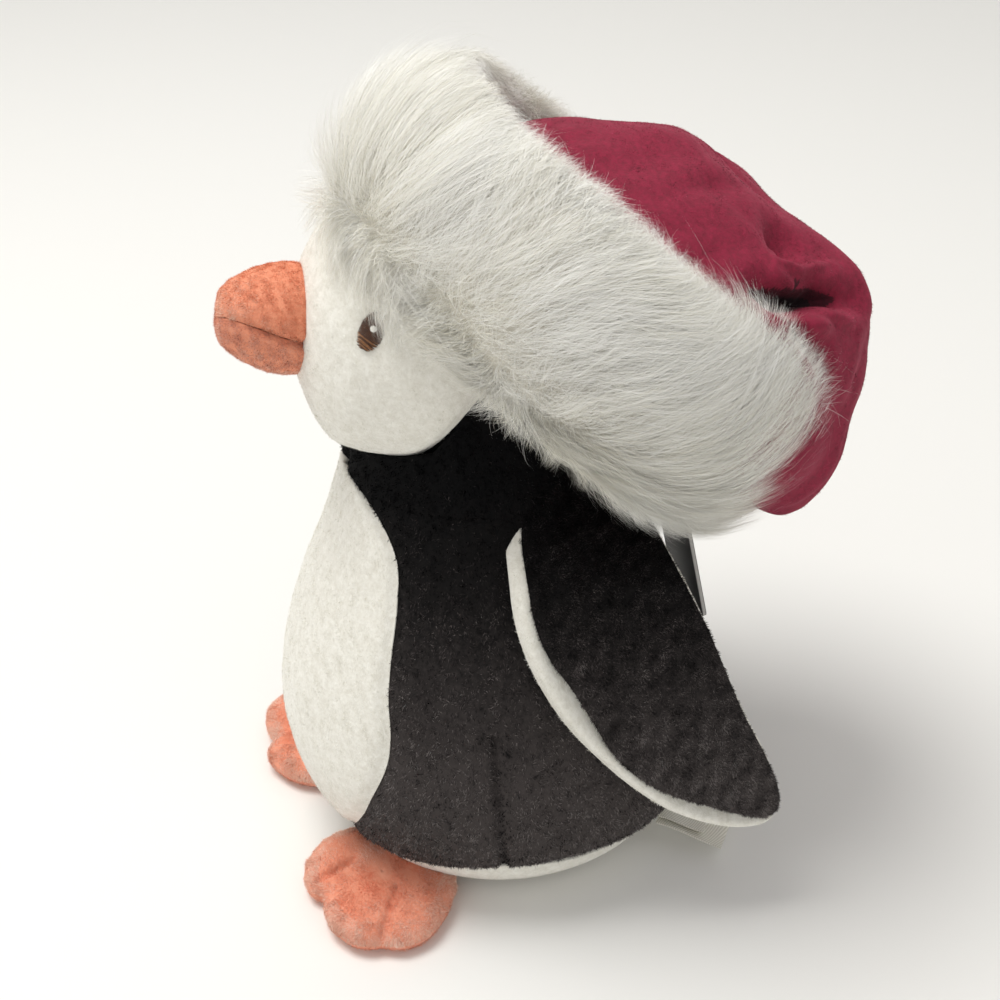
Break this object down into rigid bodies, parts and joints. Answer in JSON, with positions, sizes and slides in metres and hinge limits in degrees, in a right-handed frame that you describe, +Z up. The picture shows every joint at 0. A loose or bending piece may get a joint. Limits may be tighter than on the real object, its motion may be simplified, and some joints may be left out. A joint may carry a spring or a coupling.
{
  "type": "plush penguin",
  "caption": "Sitting plush penguin with a white face and belly, coral beak and feet, hanging wings and a tilted red hat with a thick white fur brim.",
  "frame": {"origin": "on the floor, under the middle of the flat white base", "axes": "+Z up, -Y the way the penguin faces, +X the penguin's left side"},
  "size_m": [0.12, 0.1501, 0.1945],
  "materials": {
    "dark_pile": "matte",
    "white_pile": "matte",
    "white_fur": "matte",
    "burgundy_velour": "matte",
    "coral_velour": "matte",
    "fibre_fill": "matte",
    "pellets": "matte",
    "brown_thread": "satin",
    "hat_lining_cloth": "matte",
    "grey_card": "matte",
    "clear_nylon": "satin",
    "label_satin": "satin"
  },
  "bodies": {
    "trunk": {"body_stuffing": "fibre_fill", "base_panel": "white_pile", "belly_panel": "white_pile", "left_side_panel": "dark_pile", "right_side_panel": "dark_pile", "bean_bag": "pellets", "tag_fastener": "clear_nylon"},
    "head": {"head_stuffing": "fibre_fill", "face_panel": "white_pile", "hood_panel": "dark_pile", "left_eye": "brown_thread", "right_eye": "brown_thread", "beak_upper": "coral_velour", "beak_lower": "coral_velour", "beak_stuffing": "fibre_fill", "hat_fur_brim": "white_fur", "hat_brim_wadding": "fibre_fill", "hat_crown": "burgundy_velour", "hat_filling": "fibre_fill", "hat_lining": "hat_lining_cloth"},
    "left_wing": {"left_wing_outer": "dark_pile", "left_wing_lining": "white_pile"},
    "right_wing": {"right_wing_outer": "dark_pile", "right_wing_lining": "white_pile"},
    "left_foot": {"left_foot_upper": "coral_velour", "left_foot_sole": "coral_velour", "left_foot_stuffing": "fibre_fill"},
    "right_foot": {"right_foot_upper": "coral_velour", "right_foot_sole": "coral_velour", "right_foot_stuffing": "fibre_fill"},
    "swing_tag": {"hang_tag": "grey_card"},
    "care_labels": {"care_label_long": "label_satin", "care_label_short": "label_satin"}
  },
  "joints": [
    {"name": "head_nod", "type": "hinge", "parent": "trunk", "child": "head", "pos_m": [0, -0.016, 0.136], "axis": [1, 0, 0], "range_deg": [-3, 12], "stiffness_Nm_per_rad": 0.8, "springref_deg": 1.66},
    {"name": "left_wing_flap", "type": "hinge", "parent": "trunk", "child": "left_wing", "pos_m": [0.0355, 0.011, 0.0985], "axis": [0, -1, 0], "range_deg": [0, 60], "stiffness_Nm_per_rad": 0.004},
    {"name": "right_wing_flap", "type": "hinge", "parent": "trunk", "child": "right_wing", "pos_m": [-0.0355, 0.011, 0.0985], "axis": [0, 1, 0], "range_deg": [0, 60], "stiffness_Nm_per_rad": 0.004},
    {"name": "left_foot_fold", "type": "hinge", "parent": "trunk", "child": "left_foot", "pos_m": [0.022, -0.027, 0.0015], "axis": [-0.7071, -0.7071, 0], "range_deg": [-10, 30], "stiffness_Nm_per_rad": 0.01},
    {"name": "right_foot_fold", "type": "hinge", "parent": "trunk", "child": "right_foot", "pos_m": [-0.022, -0.027, 0.0015], "axis": [-0.7071, 0.7071, 0], "range_deg": [-10, 30], "stiffness_Nm_per_rad": 0.01},
    {"name": "tag_swing", "type": "hinge", "parent": "trunk", "child": "swing_tag", "pos_m": [-0.006, 0.04476, 0.07622], "axis": [0, 0.9767, 0.2147], "range_deg": [-15, 15]},
    {"name": "label_lift", "type": "hinge", "parent": "trunk", "child": "care_labels", "pos_m": [0.02375, 0.03657, 0.0068], "axis": [0.8387, -0.5446, 0], "range_deg": [0, 20]}
  ]
}
